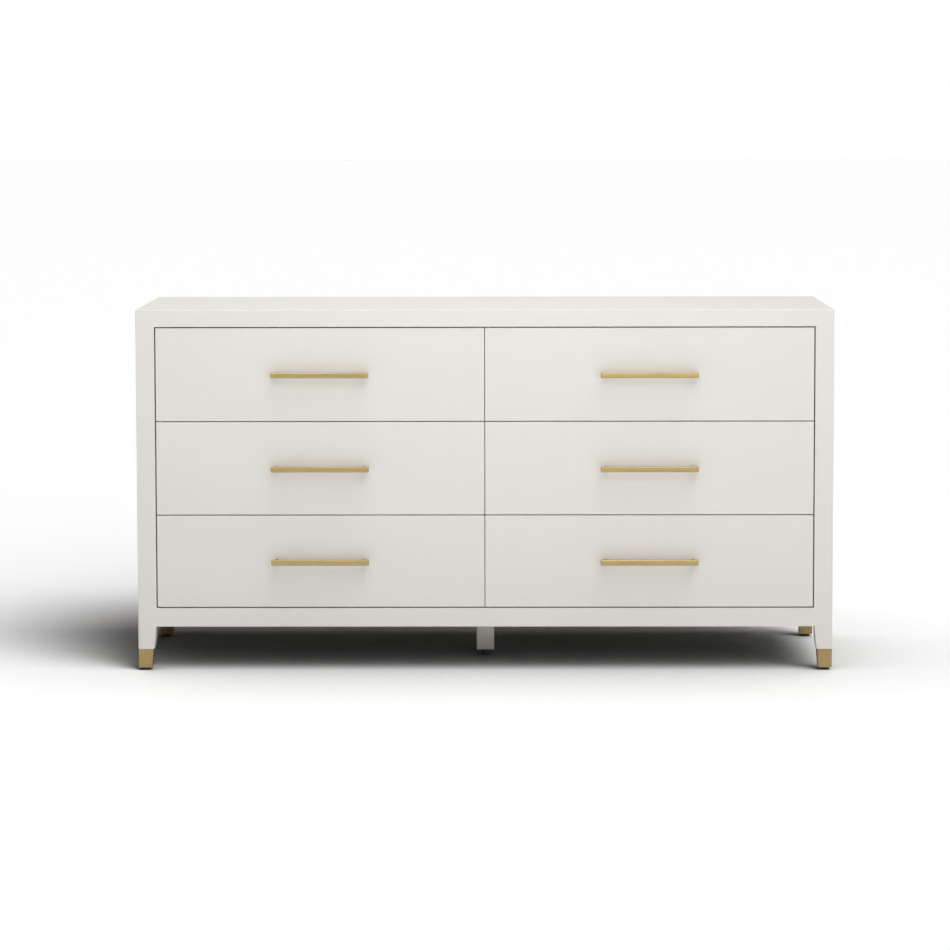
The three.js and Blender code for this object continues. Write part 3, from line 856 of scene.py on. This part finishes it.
def pull_mesh(low, high):
    """A square bar with softened edges on two round posts, each with a small foot."""
    middle = (low + high) / 2
    bar_low = Vector((low.x, low.y, middle.z - PULL_BAR / 2))
    bar_high = Vector((high.x, low.y + PULL_BAR, middle.z + PULL_BAR / 2))
    bm = block(bar_low, bar_high)
    ease(bm, PULL_EDGE, None, 4)
    for side in (-1, 1):
        foot = high.y
        profile = [
            (0, 0),
            (PULL_FOOT_RADIUS, 0),
            (PULL_FOOT_RADIUS, PULL_FOOT_HEIGHT * 0.7),
            (PULL_FOOT_RADIUS - 0.3 * MM, PULL_FOOT_HEIGHT),
            (PULL_POST_RADIUS, PULL_FOOT_HEIGHT),
            (PULL_POST_RADIUS, foot - bar_high.y + PULL_BAR / 2),
            (0, foot - bar_high.y + PULL_BAR / 2),
        ]
        centre = (middle.x + side * PULL_CENTRES / 2, foot, middle.z)
        bm = boolean(bm, lathe(profile, centre, (0, -1, 0), 40), "UNION")
    return bm


def make_pull(name, body):
    low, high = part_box(f"{name}_pull")
    finish_piece(
        f"{name}_pull_detailed", mesh_of(pull_mesh(low, high), f"{name}_pull"), PULL_BRASS, body,
        "brushed_brass", f"{name}_pull",
    )


def tail_lines(height):
    """The slanted lines between tails and pins up a corner joint: pairs of heights, at the outside
    of the joint and at its inside."""
    spacing = height / TAILS
    outside = spacing * TAIL_SHARE / 2 + BOARD * TAIL_SLOPE / 2
    inside = outside - BOARD * TAIL_SLOPE
    lines = []
    for k in range(TAILS):
        centre = (k + 0.5) * spacing
        lines.append((centre - outside, centre - inside))
        lines.append((centre + outside, centre + inside))
    return lines


def tail_board(x0, x1, length, height):
    """A side of the box, with tails at both ends, standing along Y from y = 0."""
    front = [(BOARD, 0)]
    for k, (outer, inner) in enumerate(tail_lines(height)):
        ends = [(BOARD, inner), (0, outer)]
        front += ends if k % 2 == 0 else reversed(ends)
    front.append((BOARD, height))
    back = [(length - y, z) for y, z in reversed(front)]
    rings = [[(x, y, z) for y, z in front + back] for x in (x0, x1)]
    return loft(rings)


def pin_board(half, y_out, y_in, height):
    """The front or back of the box, with pins at both ends. y_out is its outer face."""
    bm = bmesh.new()
    inner_x = half - BOARD
    lines = tail_lines(height)
    levels = {y_out: [0, *[a for a, b in lines], height], y_in: [0, *[b for a, b in lines], height]}
    points = {}
    for x in (-half, -inner_x, inner_x, half):
        for y, heights in levels.items():
            points[x, y] = [bm.verts.new((x, y, z)) for z in heights]
    count = len(lines) + 1
    for side in (-1, 1):
        near, far = side * inner_x, side * half
        for k in range(count):
            pin = k % 2 == 0
            x = far if pin else near
            a, b = points[x, y_out], points[x, y_in]
            bm.faces.new((a[k], b[k], b[k + 1], a[k + 1]))
            if pin:
                for y in (y_out, y_in):
                    n, f = points[near, y], points[far, y]
                    bm.faces.new((n[k], f[k], f[k + 1], n[k + 1]))
        for k in range(count + 1):
            around = ((near, y_out), (far, y_out), (far, y_in), (near, y_in))
            if k not in (0, count):
                bm.faces.new([points[place][k] for place in around])
    for y in (y_out, y_in):
        left, right = points[-inner_x, y], points[inner_x, y]
        bm.faces.new([*left, *reversed(right)])
    for k in (0, count):
        loop = [points[x, y_out][k] for x in (-half, -inner_x, inner_x, half)]
        loop += [points[x, y_in][k] for x in (half, inner_x, -inner_x, -half)]
        bm.faces.new(loop)
    return bm


def soften_top(bm, height):
    """Rounds the long upper edges of a board, and its long lower ones."""
    long_edges = 300 * MM
    ease(
        bm,
        BOARD_EDGE,
        lambda e: (at(e, 2, height) or at(e, 2, 0)) and e.calc_length() > long_edges
        and not flat_edge(e),
        2,
    )


def box_boards(width, length, height):
    """The four dovetailed boards of a drawer box as bmeshes, its front face at y = 0 and its
    middle at x = 0, each with a groove for the bottom and its own grain."""
    half = width / 2
    groove_low = (-(half - BOARD + GROOVE_DEPTH), BOARD - GROOVE_DEPTH, GROOVE_RAISE)
    groove_high = (
        half - BOARD + GROOVE_DEPTH, length - BOARD + GROOVE_DEPTH, GROOVE_RAISE + GROOVE_HEIGHT
    )
    boards = []
    for side in (-1, 1):
        x0, x1 = sorted((side * half, side * (half - BOARD)))
        boards.append((tail_board(x0, x1, length, height), 1, x0))
    boards.append((pin_board(half, 0, BOARD, height), 0, 0))
    boards.append((pin_board(half, length, length - BOARD, height), 0, length - BOARD))
    made = []
    for bm, long_axis, start in boards:
        bmesh.ops.recalc_face_normals(bm, faces=bm.faces)
        soften_top(bm, height)
        bm = boolean(bm, block(groove_low, groove_high), "DIFFERENCE")
        made.append((bm, long_axis, start))
    return made


def make_drawer_box(name, body):
    """Each box's boards are cut afresh, so that every board has its own grain."""
    low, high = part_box(f"{name}_box")
    size = high - low
    whole = bmesh.new()
    whole.verts.layers.float_vector.new("grain")
    for bm, long_axis, start in box_boards(size.x, size.y, size.z):
        shift = rng.uniform(0, 5)
        pith = rng.uniform(0.03, 0.11)
        lean = rng.uniform(-0.02, 0.06)
        if long_axis == 1:
            set_grain(bm, lambda p: (p.y + shift, p.z - lean, p.x - start + pith))
        else:
            set_grain(bm, lambda p: (p.x + shift, p.z - lean, p.y - start + pith))
        bmesh.ops.translate(bm, verts=bm.verts, vec=(low.x + size.x / 2, low.y, low.z))
        merge(whole, bm)
    finish_piece(
        f"{name}_box_detailed", mesh_of(whole, f"{name}_box"), BIRCH, body, "drawer_birch",
        f"{name}_box",
    )


def make_drawer_bottom(name, body):
    low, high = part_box(f"{name}_bottom")
    shift = rng.uniform(0, 5)
    bm = block(low, high)
    ease(bm, 0.3 * MM, None, 1)
    set_grain(bm, lambda p: (p.x + shift, p.y, p.z - low.z))
    finish_piece(
        f"{name}_bottom_detailed", mesh_of(bm, f"{name}_bottom"), DRAWER_PLY, body, "plywood",
        f"{name}_bottom",
    )


def make_front_screws(name, body):
    """Inside the box: two screws into the pull, and four that hold the drawer's front."""
    front_low, front_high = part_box(f"{name}_front")
    box_low, box_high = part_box(f"{name}_box")
    y = box_low.y + BOARD
    centre = (front_low + front_high) / 2
    pull_screws = bmesh.new()
    for side in (-1, 1):
        place = (centre.x + side * PULL_CENTRES / 2, y, centre.z)
        merge(pull_screws, screw_head(place, (0, 1, 0), 4.5 * MM, 2.2 * MM, rng.uniform(0, 90)))
    finish_piece(
        f"{name}_pull_screws", mesh_of(pull_screws, "pull_screws"), STEEL, body, "slide_steel"
    )
    fixings = bmesh.new()
    box_centre = (box_low + box_high) / 2
    for side in (-1, 1):
        for up in (-1, 1):
            place = (box_centre.x + side * 270 * MM, y, box_centre.z + (8 + up * 44) * MM)
            merge(fixings, screw_head(place, (0, 1, 0), 4.0 * MM, 2.0 * MM, rng.uniform(0, 90)))
    finish_piece(
        f"{name}_front_screws", mesh_of(fixings, "front_screws"), STEEL, body, "slide_steel"
    )


# ---- Slides ----------------------------------------------------------------------------------------

def bent_strip(outline, thickness, y0, y1, x, z, open_side):
    """A strip of sheet bent along an outline of (x, z) points, extruded along Y. The outline is the
    strip's outer face, and the strip is as thick as thickness on the inner side of it."""
    count = len(outline)
    inner = []
    for i, point in enumerate(outline):
        before = Vector(outline[max(i - 1, 0)])
        after = Vector(outline[min(i + 1, count - 1)])
        here = Vector(point)
        normals = []
        for a, b in ((before, here), (here, after)):
            if (b - a).length > 0:
                d = (b - a).normalized()
                normals.append(Vector((-d.y, d.x)))
        normal = sum(normals, Vector((0, 0)))
        normal = normal / max(normal.length_squared / len(normals), 1e-9)
        inner.append(here + normal * thickness)
    loop = [Vector(p) for p in outline] + inner[::-1]
    rings = [[(x + open_side * p.x, y, z + p.y) for p in loop] for y in (y0, y1)]
    return loft(rings)


def arc(cx, cz, radius, start, end, steps=4):
    """Points on an arc, in degrees."""
    points = []
    for s in range(steps + 1):
        turn = math.radians(start + (end - start) * s / steps)
        points.append((cx + radius * math.cos(turn), cz + radius * math.sin(turn)))
    return points


def make_slide(row, side_name, which):
    """One slide: the case member, its screws and the balls in their cage ride on the case. The
    drawer member and its screws ride on the drawer."""
    node = f"{row}_{side_name}_{which}_slide"
    body = f"{row}_{side_name}_drawer"
    side = SIDES[side_name]
    low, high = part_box(node)
    box_low, box_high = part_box(f"{row}_{side_name}_drawer_box")
    open_side = -side if which == "outer" else side
    web_x = low.x if open_side > 0 else high.x
    depth = high.x - low.x
    height = high.z - low.z
    bend = 2.0 * MM
    outline = [(depth, LIP + SHEET)]
    outline += arc(depth - bend, bend, bend, 0, -90)
    outline += arc(bend, bend, bend, -90, -180)
    outline += arc(bend, height - bend, bend, 180, 90)
    outline += arc(depth - bend, height - bend, bend, 90, 0)
    outline.append((depth, height - LIP - SHEET))
    channel = bent_strip(outline, -SHEET, low.y, high.y, web_x, low.z, open_side)
    finish_piece(f"{node}_channel", mesh_of(channel, node), STEEL, "case", "slide_steel", node)

    screws = bmesh.new()
    middle = (low.z + high.z) / 2
    for y in (low.y + 8 * MM, high.y - 8 * MM):
        place = (web_x + open_side * SHEET, y, middle)
        merge(screws, screw_head(place, (open_side, 0, 0), *SLIDE_SCREW, rng.uniform(0, 90)))
    finish_piece(f"{node}_case_screws", mesh_of(screws, "screws"), STEEL, "case", "slide_steel")

    member_x = box_high.x if open_side < 0 else box_low.x
    reach = abs(web_x - member_x)
    out = -open_side
    member_depth = reach - SHEET - 2.6 * MM
    top = MEMBER_HALF_HEIGHT
    fold = 1.8 * MM
    outline = [(member_depth, -top)]
    outline += arc(fold, -top + fold, fold, -90, -180)
    outline += arc(fold, top - fold, fold, 180, 90)
    outline.append((member_depth, top))
    member = bent_strip(outline, -MEMBER_SHEET, low.y, high.y, member_x, middle, out)
    finish_piece(f"{node}_drawer_member", mesh_of(member, "member"), STEEL, body, "slide_steel")
    screws = bmesh.new()
    for share in (0.06, 0.5, 0.92):
        y = low.y + (high.y - low.y) * share
        place = (member_x + out * MEMBER_SHEET, y, middle)
        merge(screws, screw_head(place, (out, 0, 0), *SLIDE_SCREW, rng.uniform(0, 90)))
    finish_piece(f"{node}_drawer_screws", mesh_of(screws, "screws"), STEEL, body, "slide_steel")

    cage = bmesh.new()
    ball_x = web_x + open_side * (SHEET + 2.0 * MM + BALL_RADIUS)
    start = low.y + 4 * MM
    for up in (-1, 1):
        ball_z = middle + up * (MEMBER_HALF_HEIGHT + 0.15 * MM + BALL_RADIUS)
        strip_low = (ball_x - 2.2 * MM, start, ball_z - 0.4 * MM)
        strip_high = (ball_x + 2.2 * MM, start + CAGE_LENGTH, ball_z + 0.4 * MM)
        merge(cage, block(strip_low, strip_high))
        for k in range(BALLS):
            y = start + CAGE_LENGTH * (k + 0.5) / BALLS
            ball = bmesh.new()
            bmesh.ops.create_uvsphere(
                ball, u_segments=12, v_segments=8, radius=BALL_RADIUS,
                matrix=Matrix.Translation((ball_x, y, ball_z)),
            )
            merge(cage, ball)
    finish_piece(f"{node}_ball_cage", mesh_of(cage, "cage"), STEEL, "case", "slide_steel")


# ---- The whole dresser -----------------------------------------------------------------------------

def make_dresser():
    make_top()
    make_painted_boards()
    make_back()
    for name, (side, end) in CORNERS.items():
        make_post(name, side, end)
        make_ferrule(name, side, end)
        make_glide(name)
    make_glide("centre")
    make_centre_leg()
    for row in ROWS:
        for side_name in SIDES:
            name = f"{row}_{side_name}_drawer"
            make_front(name, name)
            make_pull(name, name)
            make_drawer_box(name, name)
            make_drawer_bottom(name, name)
            make_front_screws(name, name)
            for which in ("outer", "inner"):
                make_slide(row, side_name, which)


# ---- Studio ----------------------------------------------------------------------------------------

CAMERA_PLACE = (0.0355, -6.9207, 1.2443)
CAMERA_YAW = 0.4808
CAMERA_PITCH = -4.2634
CAMERA_ROLL = 0.1051
CAMERA_LENS = 116.88
CAMERA_RISE = -0.15
WALL_GLOW = 1.0
CEILING_GLOW = 0.02
WALL_FADE_START = 0.06  # sine of the elevation where the walls begin to darken
WALL_FADE_END = 0.16
SOFTBOX_GRID = 110  # degrees, how wide a softbox throws its light
WALL_SPILL = 0.12  # the share of the walls' glow that lights diffuse surfaces
FLOOR_REACH = 60


def make_camera():
    data = bpy.data.cameras.new("camera")
    data.lens = CAMERA_LENS
    data.sensor_width = 36
    data.shift_y = CAMERA_RISE
    data.clip_end = 200
    camera = bpy.data.objects.new("camera", data)
    scene.collection.objects.link(camera)
    turn = Matrix.Rotation(math.radians(CAMERA_YAW), 4, "Z")
    turn = turn @ Matrix.Rotation(math.radians(90 + CAMERA_PITCH), 4, "X")
    turn = turn @ Matrix.Rotation(math.radians(-CAMERA_ROLL), 4, "Z")
    camera.matrix_world = Matrix.Translation(CAMERA_PLACE) @ turn
    scene.camera = camera


def make_sun(name, azimuth, elevation, strength, spread, lit):
    """A broad far softbox for the pieces in lit. Azimuth 0 shines from the front, 90 from the
    right."""
    data = bpy.data.lights.new(name, "SUN")
    data.energy = strength
    data.angle = math.radians(spread)
    light = bpy.data.objects.new(name, data)
    scene.collection.objects.link(light)
    a, e = math.radians(azimuth), math.radians(elevation)
    towards = Vector((math.sin(a) * math.cos(e), -math.cos(a) * math.cos(e), math.sin(e)))
    light.rotation_mode = "QUATERNION"
    light.rotation_quaternion = (-towards).to_track_quat("-Z", "Y")
    light.light_linking.receiver_collection = lit


def lit_pieces(state, *pieces):
    """The collection for a lamp that reaches only these pieces (INCLUDE), or all the others
    (EXCLUDE)."""
    lit = bpy.data.collections.new("lit")
    for piece in pieces:
        lit.objects.link(piece)
    for member in lit.collection_objects:
        member.light_linking.link_state = state
    return lit


def make_softbox(name, place, aim, watts, size, lit):
    """A near rectangular softbox with a grid, for the pieces in lit, unseen by the camera."""
    data = bpy.data.lights.new(name, "AREA")
    data.shape = "RECTANGLE"
    data.size, data.size_y = size
    data.energy = watts
    data.spread = math.radians(SOFTBOX_GRID)
    light = bpy.data.objects.new(name, data)
    scene.collection.objects.link(light)
    light.location = place
    light.rotation_mode = "QUATERNION"
    light.rotation_quaternion = (Vector(aim) - Vector(place)).to_track_quat("-Z", "Y")
    light.visible_camera = False
    light.light_linking.receiver_collection = lit


def make_world():
    """A studio whose walls are white and bright at the height of the horizon, and dark above. They
    light the scene less than they glow, so that the lamps shape the light."""
    world = bpy.data.worlds.new("studio")
    scene.world = world
    world.use_nodes = True
    tree = world.node_tree
    background = tree.nodes["Background"]
    background.inputs["Color"].default_value = (1, 1, 1, 1)
    direction = tree.nodes.new("ShaderNodeTexCoord").outputs["Generated"]
    parts = tree.nodes.new("ShaderNodeSeparateXYZ")
    tree.links.new(direction, parts.inputs[0])
    height = tree.nodes.new("ShaderNodeMath")
    height.operation = "ABSOLUTE"
    tree.links.new(parts.outputs["Z"], height.inputs[0])
    fade = tree.nodes.new("ShaderNodeMapRange")
    fade.interpolation_type = "SMOOTHSTEP"
    fade.inputs["From Min"].default_value = WALL_FADE_START
    fade.inputs["From Max"].default_value = WALL_FADE_END
    fade.inputs["To Min"].default_value = WALL_GLOW
    fade.inputs["To Max"].default_value = CEILING_GLOW
    tree.links.new(height.outputs[0], fade.inputs["Value"])
    spill = tree.nodes.new("ShaderNodeMapRange")
    spill.inputs["To Min"].default_value = 1.0
    spill.inputs["To Max"].default_value = WALL_SPILL
    path = tree.nodes.new("ShaderNodeLightPath")
    tree.links.new(path.outputs["Is Diffuse Ray"], spill.inputs["Value"])
    strength = tree.nodes.new("ShaderNodeMath")
    strength.operation = "MULTIPLY"
    tree.links.new(fade.outputs["Result"], strength.inputs[0])
    tree.links.new(spill.outputs["Result"], strength.inputs[1])
    tree.links.new(strength.outputs[0], background.inputs["Strength"])


def make_floor():
    bm = bmesh.new()
    bmesh.ops.create_grid(bm, x_segments=4, y_segments=4, size=FLOOR_REACH)
    mesh = mesh_of(bm, "floor")
    mesh.materials.append(studio_floor())
    floor = bpy.data.objects.new("floor", mesh)
    scene.collection.objects.link(floor)
    return floor


make_camera()
make_world()
floor = make_floor()
make_dresser()

# The floor and the dresser have lamps of their own, and the centre leg, deep in the shadow under the
# case, gets only what the floor and the walls give it.
ground = lit_pieces("INCLUDE", floor)
dresser = lit_pieces("EXCLUDE", floor, bpy.data.objects["centre_leg_detailed"])
make_sun("ground_light", 50, 56, 2.30, 40, ground)
make_sun("low_ground_light", 28, 35, 2.55, 50, ground)
make_sun("top_light", 75, 74, 2.80, 50, dresser)
make_sun("back_light", 180, 38, 0.55, 20, dresser)
make_softbox("front_right_softbox", (1.7, -3.8, 1.0), (0, -0.2, 0.4), 8.6, (1.0, 0.7), dresser)
make_softbox("front_softbox", (-0.1, -1.6, 1.9), (0, -0.2, 1.0), 9.3, (2.4, 1.4), dresser)
scene.view_settings.view_transform = "Standard"
